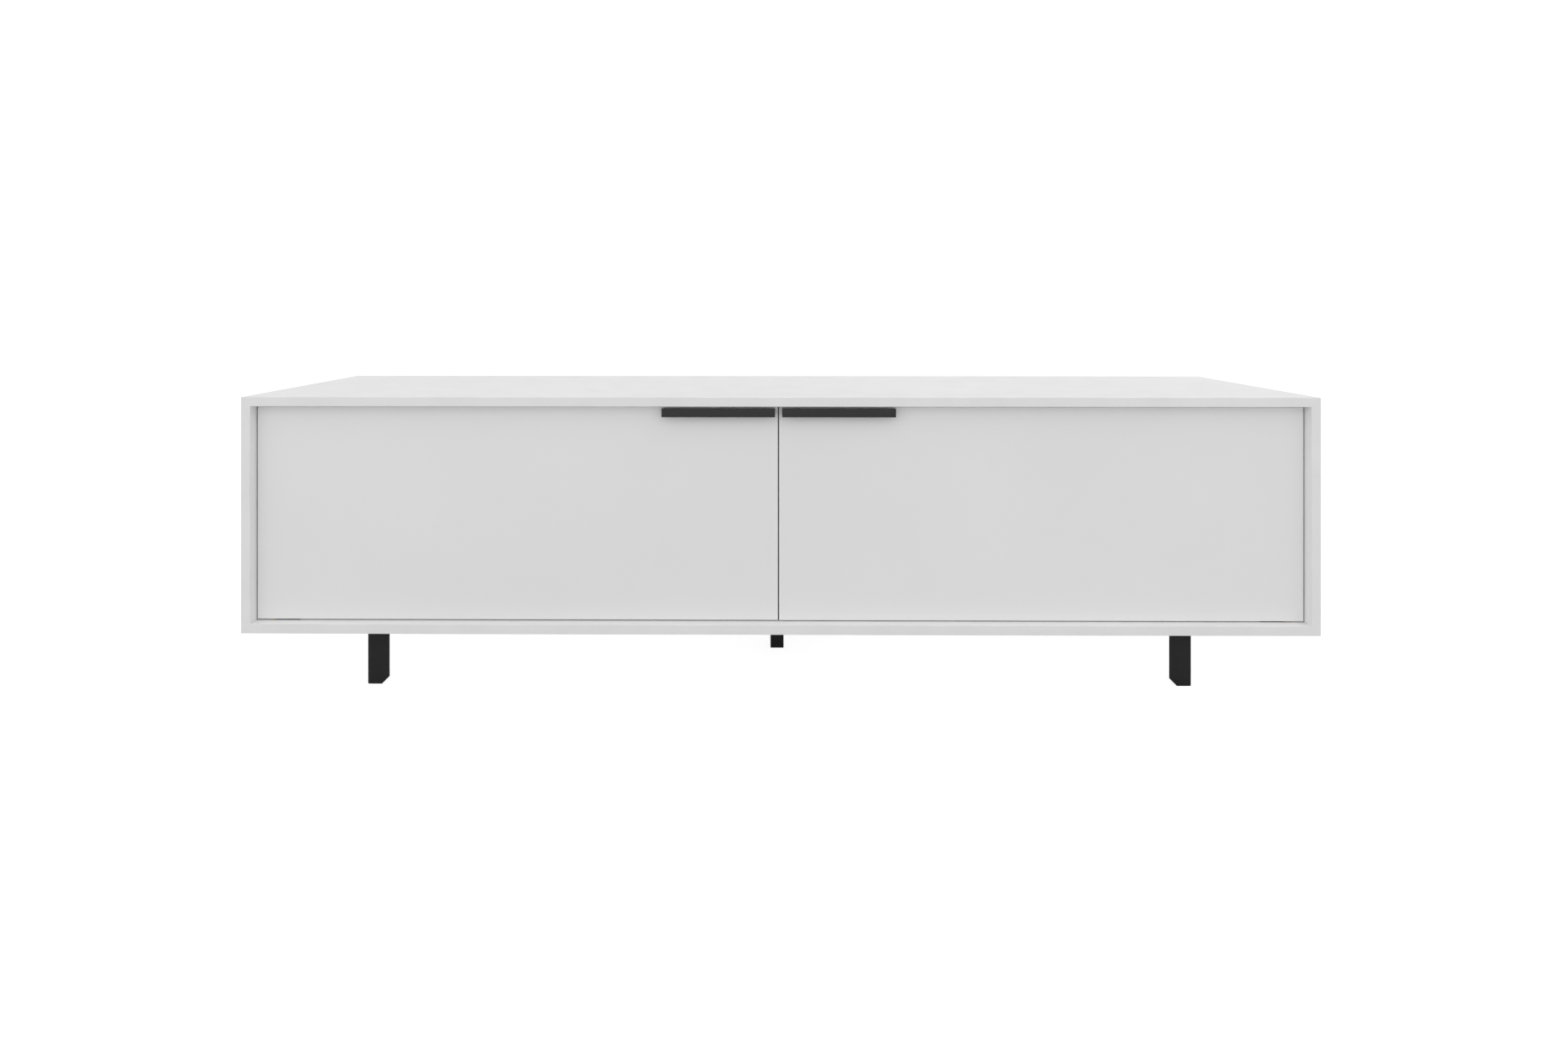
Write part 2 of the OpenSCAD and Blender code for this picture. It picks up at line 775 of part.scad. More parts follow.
top_panel();
bottom_panel();
side_panel("left");  // left_side_panel
side_panel("right");  // right_side_panel
centre_partition();
shelf("left");  // left_shelf
shelf("right");  // right_shelf
back_panel("left");  // left_back_panel
back_panel("right");  // right_back_panel
mitre_dowels();
partition_dowels();
partition_screws();
shelf_pegs("left");  // left_shelf_pegs
shelf_pegs("right");  // right_shelf_pegs
door_panel("left");  // left_door_panel
door_panel("right");  // right_door_panel
handle("left");  // left_handle
handle("right");  // right_handle
handle_screws("left");  // left_handle_screws
handle_screws("right");  // right_handle_screws
door_leaf("left", "bottom");  // left_bottom_door_leaf
door_leaf("left", "top");  // left_top_door_leaf
door_leaf("right", "bottom");  // right_bottom_door_leaf
door_leaf("right", "top");  // right_top_door_leaf
frame_leaf("left", "bottom");  // left_bottom_frame_leaf
frame_leaf("left", "top");  // left_top_frame_leaf
frame_leaf("right", "bottom");  // right_bottom_frame_leaf
frame_leaf("right", "top");  // right_top_frame_leaf
hinge_pin("left", "bottom");  // left_bottom_pin
hinge_pin("left", "top");  // left_top_pin
hinge_pin("right", "bottom");  // right_bottom_pin
hinge_pin("right", "top");  // right_top_pin
hinge_washer("left", "bottom");  // left_bottom_washer
hinge_washer("left", "top");  // left_top_washer
hinge_washer("right", "bottom");  // right_bottom_washer
hinge_washer("right", "top");  // right_top_washer
door_hinge_screws("left");  // left_door_hinge_screws
door_hinge_screws("right");  // right_door_hinge_screws
frame_hinge_screws();
catch_body("left");  // left_catch_body
catch_body("right");  // right_catch_body
catch_magnet("left");  // left_catch_magnet
catch_magnet("right");  // right_catch_magnet
catch_poles("left");  // left_catch_poles
catch_poles("right");  // right_catch_poles
catch_screws();
strike_plate("left");  // left_strike_plate
strike_plate("right");  // right_strike_plate
strike_screw("left");  // left_strike_screw
strike_screw("right");  // right_strike_screw
door_bumpers();
leg("left", "front");  // front_left_leg
leg("right", "front");  // front_right_leg
leg("left", "rear");  // rear_left_leg
leg("right", "rear");  // rear_right_leg
centre_leg();
centre_leg_glide();
foot_pads();
leg_screws();
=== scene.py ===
import json
from math import pi, radians

import bpy
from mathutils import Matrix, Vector


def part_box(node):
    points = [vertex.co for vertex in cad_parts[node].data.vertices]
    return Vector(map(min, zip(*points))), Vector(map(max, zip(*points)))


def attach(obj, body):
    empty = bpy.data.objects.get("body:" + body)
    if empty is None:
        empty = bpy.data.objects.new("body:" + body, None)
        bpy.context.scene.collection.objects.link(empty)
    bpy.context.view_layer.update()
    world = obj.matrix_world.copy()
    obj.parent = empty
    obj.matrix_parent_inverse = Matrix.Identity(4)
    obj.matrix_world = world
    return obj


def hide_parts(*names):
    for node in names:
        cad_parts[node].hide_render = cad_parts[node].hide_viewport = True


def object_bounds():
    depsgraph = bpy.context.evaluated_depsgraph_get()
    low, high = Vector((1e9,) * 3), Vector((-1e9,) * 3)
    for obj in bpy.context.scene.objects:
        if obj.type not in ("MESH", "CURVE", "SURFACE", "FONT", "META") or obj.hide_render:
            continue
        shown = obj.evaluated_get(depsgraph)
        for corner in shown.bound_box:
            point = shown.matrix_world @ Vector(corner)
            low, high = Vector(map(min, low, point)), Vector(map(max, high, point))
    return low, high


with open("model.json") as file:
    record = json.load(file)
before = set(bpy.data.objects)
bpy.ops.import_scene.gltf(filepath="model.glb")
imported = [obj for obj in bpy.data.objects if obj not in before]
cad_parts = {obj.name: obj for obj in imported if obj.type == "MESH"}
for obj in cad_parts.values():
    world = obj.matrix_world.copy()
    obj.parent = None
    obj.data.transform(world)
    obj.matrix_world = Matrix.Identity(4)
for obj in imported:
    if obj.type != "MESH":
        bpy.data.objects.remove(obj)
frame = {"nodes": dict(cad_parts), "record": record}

cadLow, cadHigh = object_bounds()
bodyOf = {node: body for body, nodes in frame["record"]["behaviour"]["bodies"].items() for node in nodes}
slotOf = {part["node"]: part["material_slot"] for part in frame["record"]["subparts"]}
print("frame loaded")

mm = 0.001
xAxis, yAxis, zAxis = 0, 1, 2
noiseLow, noiseHigh = 0.3, 0.7  # most of a noise texture's values lie between these


def deselectAll():
    if bpy.context.mode != "OBJECT":
        bpy.ops.object.mode_set(mode="OBJECT")
    bpy.ops.object.select_all(action="DESELECT")


def makeActive(piece):
    deselectAll()
    piece.select_set(True)
    bpy.context.view_layer.objects.active = piece


cameraSetup = {
    "inFrontOfCase": 1.4007,   # metres from the case front to the eye
    "aboveTop": 0.1609,        # metres from the top panel up to the eye
    "toTheSide": -0.0214,
    "lens": 19.303,
    "turn": 0.361,             # degrees, towards the left
    "shiftX": 0.01497,
    "shiftY": -0.14150,
}

deselectAll()
bpy.ops.object.camera_add(
    location=(cameraSetup["toTheSide"],
              cadLow.y - cameraSetup["inFrontOfCase"],
              cadHigh.z + cameraSetup["aboveTop"]),
    rotation=(radians(90), 0, radians(cameraSetup["turn"])))
camera = bpy.context.object
camera.name = "camera"
camera.data.lens = cameraSetup["lens"]
camera.data.shift_x = cameraSetup["shiftX"]
camera.data.shift_y = cameraSetup["shiftY"]
camera.data.dof.use_dof = False
bpy.context.scene.camera = camera
print("camera placed")


def hexColour(code):
    # sRGB hex to the linear values that Blender's sockets hold
    channels = [int(code[i:i + 2], 16) / 255 for i in (0, 2, 4)]
    linear = [c / 12.92 if c <= 0.04045 else ((c + 0.055) / 1.055) ** 2.4 for c in channels]
    return (*linear, 1.0)


def newMaterial(name):
    material = bpy.data.materials.new(name)
    material.use_nodes = True
    material.node_tree.nodes.clear()
    return material, material.node_tree


def addNode(tree, kind, inputs=None, stops=None, **settings):
    # adds one node; an input takes a value or a socket to link from, and stops are a ramp's (place, hex)
    node = tree.nodes.new(kind)
    for key, value in settings.items():
        setattr(node, key, value)
    for key, value in (inputs or {}).items():
        if isinstance(value, bpy.types.NodeSocket):
            tree.links.new(value, node.inputs[key])
        else:
            node.inputs[key].default_value = value
    for k, (place, code) in enumerate(stops or []):
        elements = node.color_ramp.elements
        stop = elements[k] if k < len(elements) else elements.new(place)
        stop.position = place
        stop.color = hexColour(code)
    return node


def finishMaterial(tree, shader):
    addNode(tree, "ShaderNodeOutputMaterial", {"Surface": shader.outputs[0]})


melamine = {
    "stops": [(0.30, "EFEFEF"), (0.70, "F2F2F2")],
    "cloud": 400 * mm,       # faint drift of the white over a board
    "pearl": 1.2 * mm,       # the press plate's pearl grain, drawn coarser than real so that it shows
    "relief": 0.026 * mm,
    "smear": 45 * mm,        # patches rubbed a little glossier by wiping
    "roughness": (0.38, 0.50),
}


def makeMelamine():
    # melamine-faced board, hot pressed against a pearl-grained plate: a satin white that blurs reflections
    material, tree = newMaterial("melaminePearlWhite")
    place = addNode(tree, "ShaderNodeTexCoord").outputs["Object"]
    cloud = addNode(tree, "ShaderNodeTexNoise",
                    {"Vector": place, "Scale": 1 / melamine["cloud"], "Detail": 3.0})
    colour = addNode(tree, "ShaderNodeValToRGB", {"Fac": cloud.outputs["Fac"]}, melamine["stops"])
    smear = addNode(tree, "ShaderNodeTexNoise",
                    {"Vector": place, "Scale": 1 / melamine["smear"], "Detail": 5.0, "Roughness": 0.6})
    gloss = addNode(tree, "ShaderNodeMapRange", {
        "Value": smear.outputs["Fac"], "From Min": noiseLow, "From Max": noiseHigh,
        "To Min": melamine["roughness"][0], "To Max": melamine["roughness"][1]})
    pearl = addNode(tree, "ShaderNodeTexNoise",
                    {"Vector": place, "Scale": 1 / melamine["pearl"], "Detail": 2.0, "Roughness": 0.5})
    bump = addNode(tree, "ShaderNodeBump",
                   {"Height": pearl.outputs["Fac"], "Distance": melamine["relief"], "Strength": 1.0})
    shader = addNode(tree, "ShaderNodeBsdfPrincipled", {
        "Base Color": colour.outputs["Color"], "Roughness": gloss.outputs["Result"],
        "Normal": bump.outputs["Normal"], "IOR": 1.5, "Specular IOR Level": 0.35})
    finishMaterial(tree, shader)
    return material


edgeBand = {"name": "absEdgeBandWhite", "stops": [(0.35, "EEEEEE"), (0.65, "F1F1F1")],
            "peel": 2.2 * mm, "handled": 60 * mm, "relief": 0.010 * mm, "roughness": (0.40, 0.50)}
edgeBandRubbed = {"name": "absEdgeBandScraped", "stops": [(0.38, "E6E6E5"), (0.62, "F0F0F0")],
                  "peel": 3.0 * mm, "handled": 60 * mm, "relief": 0.020 * mm, "roughness": (0.28, 0.42)}


def makeEdgeBand(look):
    # extruded ABS band, glued on and scraped flush: slight orange peel, and a greyer, shinier scraped arris
    material, tree = newMaterial(look["name"])
    place = addNode(tree, "ShaderNodeTexCoord").outputs["Object"]
    peel = addNode(tree, "ShaderNodeTexNoise",
                   {"Vector": place, "Scale": 1 / look["peel"], "Detail": 3.0, "Roughness": 0.55})
    handled = addNode(tree, "ShaderNodeTexNoise",
                      {"Vector": place, "Scale": 1 / look["handled"], "Detail": 4.0})
    colour = addNode(tree, "ShaderNodeValToRGB", {"Fac": handled.outputs["Fac"]}, look["stops"])
    gloss = addNode(tree, "ShaderNodeMapRange", {
        "Value": handled.outputs["Fac"], "From Min": noiseLow, "From Max": noiseHigh,
        "To Min": look["roughness"][0], "To Max": look["roughness"][1]})
    bump = addNode(tree, "ShaderNodeBump",
                   {"Height": peel.outputs["Fac"], "Distance": look["relief"], "Strength": 1.0})
    shader = addNode(tree, "ShaderNodeBsdfPrincipled", {
        "Base Color": colour.outputs["Color"], "Roughness": gloss.outputs["Result"],
        "Normal": bump.outputs["Normal"], "IOR": 1.53, "Specular IOR Level": 0.35})
    finishMaterial(tree, shader)
    return material


particleCore = {
    "stops": [(0.0, "8A6A45"), (0.35, "B08D62"), (0.7, "C9A97D"), (1.0, "DCC39B")],
    "chip": 2.4 * mm,
    "flake": 0.7 * mm,
    "flakeShare": 0.4,    # how much of the colour comes from the small flakes
    "wander": 1.2 * mm,   # bends the outlines of the chips
    "relief": 0.25 * mm,
}


def makeParticleCore():
    # glued spruce chips, sawn through: flat splinters in many tans, open pores between them
    material, tree = newMaterial("particleBoardSawn")
    place = addNode(tree, "ShaderNodeTexCoord").outputs["Object"]
    wobble = addNode(tree, "ShaderNodeTexNoise",
                     {"Vector": place, "Scale": 1 / particleCore["chip"], "Detail": 2.0})
    shifted = addNode(tree, "ShaderNodeVectorMath",
                      {0: wobble.outputs["Color"], 1: [particleCore["wander"]] * 3}, operation="MULTIPLY")
    bent = addNode(tree, "ShaderNodeVectorMath", {0: place, 1: shifted.outputs["Vector"]}, operation="ADD")
    chips = addNode(tree, "ShaderNodeTexVoronoi",
                    {"Vector": bent.outputs["Vector"], "Scale": 1 / particleCore["chip"]})
    flakes = addNode(tree, "ShaderNodeTexVoronoi",
                     {"Vector": bent.outputs["Vector"], "Scale": 1 / particleCore["flake"]})
    blend = addNode(tree, "ShaderNodeMixRGB", {
        "Fac": particleCore["flakeShare"],
        "Color1": chips.outputs["Color"], "Color2": flakes.outputs["Color"]})
    colour = addNode(tree, "ShaderNodeValToRGB", {"Fac": blend.outputs["Color"]}, particleCore["stops"])
    bump = addNode(tree, "ShaderNodeBump",
                   {"Height": flakes.outputs["Distance"], "Distance": particleCore["relief"], "Strength": 0.8})
    shader = addNode(tree, "ShaderNodeBsdfPrincipled", {
        "Base Color": colour.outputs["Color"], "Roughness": 0.85,
        "Normal": bump.outputs["Normal"], "IOR": 1.5, "Specular IOR Level": 0.2})
    finishMaterial(tree, shader)
    return material


hardboard = {
    "stops": [(0.25, "6E5238"), (0.55, "856747"), (0.8, "987A57")],
    "screen": 1.7 * mm,   # pitch of the wire
    "fibre": 1.1 * mm,
    "stain": 90 * mm,
    "relief": 0.12 * mm,
    "roughness": 0.78,
}


def makeHardboard():
    # wet-pressed hardboard, its back: brown fibre with the mark of the wire screen that it drained on
    material, tree = newMaterial("hardboardScreenBack")
    place = addNode(tree, "ShaderNodeTexCoord").outputs["Object"]
    fibre = addNode(tree, "ShaderNodeTexNoise",
                    {"Vector": place, "Scale": 1 / hardboard["fibre"], "Detail": 6.0, "Roughness": 0.7})
    stain = addNode(tree, "ShaderNodeTexNoise",
                    {"Vector": place, "Scale": 1 / hardboard["stain"], "Detail": 3.0})
    mixed = addNode(tree, "ShaderNodeMath", {0: fibre.outputs["Fac"], 1: stain.outputs["Fac"]}, operation="ADD")
    halved = addNode(tree, "ShaderNodeMath", {0: mixed.outputs["Value"], 1: 0.5}, operation="MULTIPLY")
    colour = addNode(tree, "ShaderNodeValToRGB", {"Fac": halved.outputs["Value"]}, hardboard["stops"])
    wireScale = 2 * pi / 20 / hardboard["screen"]  # a wave texture repeats every 2 pi / 20 of its own space
    across = addNode(tree, "ShaderNodeTexWave", {"Vector": place, "Scale": wireScale}, bands_direction="X")
    upright = addNode(tree, "ShaderNodeTexWave", {"Vector": place, "Scale": wireScale}, bands_direction="Z")
    screen = addNode(tree, "ShaderNodeMath",
                     {0: across.outputs["Fac"], 1: upright.outputs["Fac"]}, operation="MULTIPLY")
    height = addNode(tree, "ShaderNodeMath",
                     {0: screen.outputs["Value"], 1: fibre.outputs["Fac"]}, operation="ADD")
    bump = addNode(tree, "ShaderNodeBump",
                   {"Height": height.outputs["Value"], "Distance": hardboard["relief"], "Strength": 0.7})
    shader = addNode(tree, "ShaderNodeBsdfPrincipled", {
        "Base Color": colour.outputs["Color"], "Roughness": hardboard["roughness"],
        "Normal": bump.outputs["Normal"], "IOR": 1.5, "Specular IOR Level": 0.3})
    finishMaterial(tree, shader)
    return material


powderCoat = {"name": "powderCoatFineBlack", "stops": [(0.3, "232323"), (0.7, "2C2C2C")],
              "grain": 0.5 * mm, "patch": 25 * mm, "relief": 0.035 * mm, "roughness": (0.50, 0.62)}
powderCoatThin = {"name": "powderCoatThinEdge", "stops": [(0.35, "272727"), (0.72, "3A3A3B")],
                  "grain": 0.6 * mm, "patch": 25 * mm, "relief": 0.02 * mm, "roughness": (0.36, 0.50)}


def makePowderCoat(look):
    # fine-textured polyester powder stoved on steel: a dull black of small hills, thinner and shinier on edges
    material, tree = newMaterial(look["name"])
    place = addNode(tree, "ShaderNodeTexCoord").outputs["Object"]
    grain = addNode(tree, "ShaderNodeTexNoise",
                    {"Vector": place, "Scale": 1 / look["grain"], "Detail": 3.0, "Roughness": 0.6})
    patch = addNode(tree, "ShaderNodeTexNoise", {"Vector": place, "Scale": 1 / look["patch"], "Detail": 4.0})
    mixed = addNode(tree, "ShaderNodeMath", {0: grain.outputs["Fac"], 1: patch.outputs["Fac"]}, operation="ADD")
    halved = addNode(tree, "ShaderNodeMath", {0: mixed.outputs["Value"], 1: 0.5}, operation="MULTIPLY")
    colour = addNode(tree, "ShaderNodeValToRGB", {"Fac": halved.outputs["Value"]}, look["stops"])
    gloss = addNode(tree, "ShaderNodeMapRange", {
        "Value": patch.outputs["Fac"], "From Min": noiseLow, "From Max": noiseHigh,
        "To Min": look["roughness"][0], "To Max": look["roughness"][1]})
    bump = addNode(tree, "ShaderNodeBump",
                   {"Height": grain.outputs["Fac"], "Distance": look["relief"], "Strength": 1.0})
    shader = addNode(tree, "ShaderNodeBsdfPrincipled", {
        "Base Color": colour.outputs["Color"], "Roughness": gloss.outputs["Result"],
        "Normal": bump.outputs["Normal"], "IOR": 1.5, "Specular IOR Level": 0.25})
    finishMaterial(tree, shader)
    return material


anodised = {"name": "anodisedAluminiumBlack", "stops": [(0.3, "1B1B1C"), (0.7, "222223")],
            "line": 0.35 * mm, "lineLength": 60 * mm, "patch": 18 * mm, "relief": 0.006 * mm,
            "roughness": (0.30, 0.40)}
anodisedWorn = {"name": "anodisedAluminiumEdge", "stops": [(0.35, "232324"), (0.75, "3C3C3D")],
                "line": 0.35 * mm, "lineLength": 60 * mm, "patch": 18 * mm, "relief": 0.006 * mm,
                "roughness": (0.22, 0.34)}


def makeAnodised(look):
    # extruded aluminium, black anodised: a hard clear oxide over dyed metal, with die lines along the pull
    material, tree = newMaterial(look["name"])
    place = addNode(tree, "ShaderNodeTexCoord").outputs["Object"]
    drawn = addNode(tree, "ShaderNodeMapping", {
        "Vector": place, "Scale": (1 / look["lineLength"], 1 / look["line"], 1 / look["line"])})
    lines = addNode(tree, "ShaderNodeTexNoise",
                    {"Vector": drawn.outputs["Vector"], "Scale": 1.0, "Detail": 2.0})
    patch = addNode(tree, "ShaderNodeTexNoise", {"Vector": place, "Scale": 1 / look["patch"], "Detail": 4.0})
    colour = addNode(tree, "ShaderNodeValToRGB", {"Fac": lines.outputs["Fac"]}, look["stops"])
    gloss = addNode(tree, "ShaderNodeMapRange", {
        "Value": patch.outputs["Fac"], "From Min": noiseLow, "From Max": noiseHigh,
        "To Min": look["roughness"][0], "To Max": look["roughness"][1]})
    bump = addNode(tree, "ShaderNodeBump",
                   {"Height": lines.outputs["Fac"], "Distance": look["relief"], "Strength": 1.0})
    shader = addNode(tree, "ShaderNodeBsdfPrincipled", {
        "Base Color": colour.outputs["Color"], "Metallic": 0.6, "Roughness": gloss.outputs["Result"],
        "Normal": bump.outputs["Normal"], "Coat Weight": 1.0, "Coat Roughness": 0.15, "Coat IOR": 1.5})
    finishMaterial(tree, shader)
    return material


plated = {
    # nickel over pressed steel: warm grey
    "nickelPlateSatin": {"stops": [(0.3, "B9B5AB"), (0.7, "CBC7BE")], "cloud": 6 * mm,
                         "grain": 0.30 * mm, "relief": 0.004 * mm, "roughness": (0.24, 0.36)},
    # zinc over headed steel, passivated: blue-grey with a straw tint
    "zincPlateBright": {"stops": [(0.25, "A9AFB6"), (0.55, "C3C7CA"), (0.8, "C9C6B4")], "cloud": 3 * mm,
                        "grain": 0.25 * mm, "relief": 0.006 * mm, "roughness": (0.28, 0.45)},
    # brass, turned and tumbled
    "brassTurned": {"stops": [(0.3, "C29A4E"), (0.7, "D4B067")], "cloud": 4 * mm,
                    "grain": 0.20 * mm, "relief": 0.005 * mm, "roughness": (0.22, 0.38)},
    # steel blacked in a hot bath and oiled
    "blackOxideSteel": {"stops": [(0.3, "1E1E1F"), (0.7, "2C2C2E")], "cloud": 3 * mm,
                        "grain": 0.25 * mm, "relief": 0.006 * mm, "roughness": (0.34, 0.50)},
}


def makePlated(name):
    # barrel-finished small metal parts: soft clouds in the plating over fine tumbling marks
    look = plated[name]
    material, tree = newMaterial(name)
    place = addNode(tree, "ShaderNodeTexCoord").outputs["Object"]
    cloud = addNode(tree, "ShaderNodeTexNoise", {"Vector": place, "Scale": 1 / look["cloud"], "Detail": 4.0})
    tumbled = addNode(tree, "ShaderNodeTexNoise",
                      {"Vector": place, "Scale": 1 / look["grain"], "Detail": 3.0, "Roughness": 0.7})
    colour = addNode(tree, "ShaderNodeValToRGB", {"Fac": cloud.outputs["Fac"]}, look["stops"])
    gloss = addNode(tree, "ShaderNodeMapRange", {
        "Value": tumbled.outputs["Fac"], "From Min": noiseLow, "From Max": noiseHigh,
        "To Min": look["roughness"][0], "To Max": look["roughness"][1]})
    bump = addNode(tree, "ShaderNodeBump",
                   {"Height": tumbled.outputs["Fac"], "Distance": look["relief"], "Strength": 1.0})
    shader = addNode(tree, "ShaderNodeBsdfPrincipled", {
        "Base Color": colour.outputs["Color"], "Metallic": 1.0, "Roughness": gloss.outputs["Result"],
        "Normal": bump.outputs["Normal"]})
    finishMaterial(tree, shader)
    return material


moulded = {
    # injection moulded in a fine spark-eroded tool
    "absMouldedWhite": {"stops": [(0.3, "E6E5E1"), (0.7, "EEEDEA")], "grain": 0.35 * mm, "relief": 0.02 * mm,
                        "roughness": (0.42, 0.55), "ior": 1.53, "through": 0.0},
    # injection moulded, a little waxy
    "polyethyleneBlack": {"stops": [(0.3, "151516"), (0.7, "1E1E1F")], "grain": 0.8 * mm, "relief": 0.03 * mm,
                          "roughness": (0.40, 0.55), "ior": 1.51, "through": 0.0},
    # pressed and cured rubber, dusty matt
    "rubberBlackMatt": {"stops": [(0.3, "121212"), (0.7, "1B1B1A")], "grain": 0.4 * mm, "relief": 0.05 * mm,
                        "roughness": (0.75, 0.88), "ior": 1.52, "through": 0.0},
    # pressed powder, fired and ground: a dark grey stone
    "ferriteSintered": {"stops": [(0.3, "2B2B2D"), (0.7, "3D3D40")], "grain": 0.3 * mm, "relief": 0.03 * mm,
                        "roughness": (0.60, 0.75), "ior": 1.6, "through": 0.0},
    # poured clear drops
    "siliconeClear": {"stops": [(0.3, "E4E5E3"), (0.7, "EFF0EE")], "grain": 1.5 * mm, "relief": 0.02 * mm,
                      "roughness": (0.18, 0.30), "ior": 1.41, "through": 0.7},
}
flowMark = 7 * mm


def makeMoulded(name):
    # small moulded or sintered parts: an even colour with flow clouds, and the fine texture of the mould
    look = moulded[name]
    material, tree = newMaterial(name)
    place = addNode(tree, "ShaderNodeTexCoord").outputs["Object"]
    flow = addNode(tree, "ShaderNodeTexNoise",
                   {"Vector": place, "Scale": 1 / flowMark, "Detail": 3.0, "Distortion": 0.8})
    spark = addNode(tree, "ShaderNodeTexNoise",
                    {"Vector": place, "Scale": 1 / look["grain"], "Detail": 2.0, "Roughness": 0.7})
    colour = addNode(tree, "ShaderNodeValToRGB", {"Fac": flow.outputs["Fac"]}, look["stops"])
    gloss = addNode(tree, "ShaderNodeMapRange", {
        "Value": spark.outputs["Fac"], "From Min": noiseLow, "From Max": noiseHigh,
        "To Min": look["roughness"][0], "To Max": look["roughness"][1]})
    bump = addNode(tree, "ShaderNodeBump",
                   {"Height": spark.outputs["Fac"], "Distance": look["relief"], "Strength": 1.0})
    shader = addNode(tree, "ShaderNodeBsdfPrincipled", {
        "Base Color": colour.outputs["Color"], "Roughness": gloss.outputs["Result"],
        "Normal": bump.outputs["Normal"], "IOR": look["ior"], "Transmission Weight": look["through"]})
    finishMaterial(tree, shader)
    return material


beech = {
    "stops": [(0.25, "B98D5F"), (0.5, "CDA678"), (0.8, "DBBB90")],
    "grain": 0.5 * mm,
    "length": 14 * mm,    # of a streak, along the dowel
    "fleck": 1.25 * mm,
    "lift": 0.3,          # keeps the flecks from darkening the whole
    "relief": 0.03 * mm,
}


def makeBeech():
    # turned beech: pale pinkish wood, short brown rays over close grain
    material, tree = newMaterial("beechTurned")
    place = addNode(tree, "ShaderNodeTexCoord").outputs["Object"]
    drawn = addNode(tree, "ShaderNodeMapping", {
        "Vector": place, "Scale": (1 / beech["grain"], 1 / beech["grain"], 1 / beech["length"])})
    grain = addNode(tree, "ShaderNodeTexNoise",
                    {"Vector": drawn.outputs["Vector"], "Scale": 1.0, "Detail": 5.0})
    flecks = addNode(tree, "ShaderNodeTexVoronoi",
                     {"Vector": drawn.outputs["Vector"], "Scale": beech["grain"] / beech["fleck"]})
    mixed = addNode(tree, "ShaderNodeMath",
                    {0: grain.outputs["Fac"], 1: flecks.outputs["Distance"]}, operation="MULTIPLY")
    lifted = addNode(tree, "ShaderNodeMath", {0: mixed.outputs["Value"], 1: beech["lift"]}, operation="ADD")
    colour = addNode(tree, "ShaderNodeValToRGB", {"Fac": lifted.outputs["Value"]}, beech["stops"])
    bump = addNode(tree, "ShaderNodeBump",
                   {"Height": grain.outputs["Fac"], "Distance": beech["relief"], "Strength": 1.0})
    shader = addNode(tree, "ShaderNodeBsdfPrincipled", {
        "Base Color": colour.outputs["Color"], "Roughness": 0.6, "Normal": bump.outputs["Normal"],
        "IOR": 1.5, "Specular IOR Level": 0.4})
    finishMaterial(tree, shader)
    return material


melamineWhite = makeMelamine()
bandWhite = makeEdgeBand(edgeBand)
bandScraped = makeEdgeBand(edgeBandRubbed)
coreSawn = makeParticleCore()
hardboardBack = makeHardboard()
powderBlack = makePowderCoat(powderCoat)
powderEdge = makePowderCoat(powderCoatThin)
handleBlack = makeAnodised(anodised)
handleEdge = makeAnodised(anodisedWorn)
metals = {name: makePlated(name) for name in plated}
plastics = {name: makeMoulded(name) for name in moulded}
beechWood = makeBeech()
print("materials made")


cleanUp = {
    "merge": 0.002 * mm,     # corners nearer than this are one
    "flatten": 0.3,          # degrees between faces that are one flat face
    "collapse": 0.001 * mm,  # shortest edge that is kept
    "sharpFrom": 30,         # degrees at which an edge gets rounded
}


def copyOf(node, name):
    # a copy of a CAD node with its loose triangles merged and its flat faces made whole
    deselectAll()
    piece = bpy.data.objects.new(name, frame["nodes"][node].data.copy())
    bpy.context.scene.collection.objects.link(piece)
    piece.data.materials.clear()
    makeActive(piece)
    if piece.data.has_custom_normals:
        bpy.ops.mesh.customdata_custom_splitnormals_clear()
    bpy.ops.object.mode_set(mode="EDIT")
    bpy.ops.mesh.select_mode(type="VERT")
    bpy.ops.mesh.select_all(action="SELECT")
    bpy.ops.mesh.remove_doubles(threshold=cleanUp["merge"])
    bpy.ops.mesh.dissolve_limited(angle_limit=radians(cleanUp["flatten"]))
    bpy.ops.object.mode_set(mode="OBJECT")
    return piece


def selectEdges(piece, test):
    # leaves the piece in edit mode with the edges whose two ends pass the test selected
    makeActive(piece)
    bpy.ops.object.mode_set(mode="EDIT")
    bpy.ops.mesh.select_mode(type="EDGE")
    bpy.ops.mesh.select_all(action="DESELECT")
    bpy.ops.object.mode_set(mode="OBJECT")
    corners = piece.data.vertices
    for edge in piece.data.edges:
        edge.select = test(*(corners[k].co for k in edge.vertices))
    bpy.ops.object.mode_set(mode="EDIT")


def selectFaces(piece, test):
    # leaves the piece in edit mode with the faces whose centre and normal pass the test selected
    makeActive(piece)
    bpy.ops.object.mode_set(mode="EDIT")
    bpy.ops.mesh.select_mode(type="FACE")
    bpy.ops.mesh.select_all(action="DESELECT")
    bpy.ops.object.mode_set(mode="OBJECT")
    for face in piece.data.polygons:
        face.select = test(face.center, face.normal)
    bpy.ops.object.mode_set(mode="EDIT")


def applyModifiers(piece):
    makeActive(piece)
    for modifier in list(piece.modifiers):
        bpy.ops.object.modifier_apply(modifier=modifier.name)


def shadeCrisp(piece, smoothTo=35):
    # smooth over rounded edges and curved walls, flat on the faces between them
    makeActive(piece)
    bpy.ops.object.shade_smooth_by_angle(angle=radians(smoothTo))
    weights = piece.modifiers.new("evenNormals", "WEIGHTED_NORMAL")
    weights.keep_sharp = True
    applyModifiers(piece)


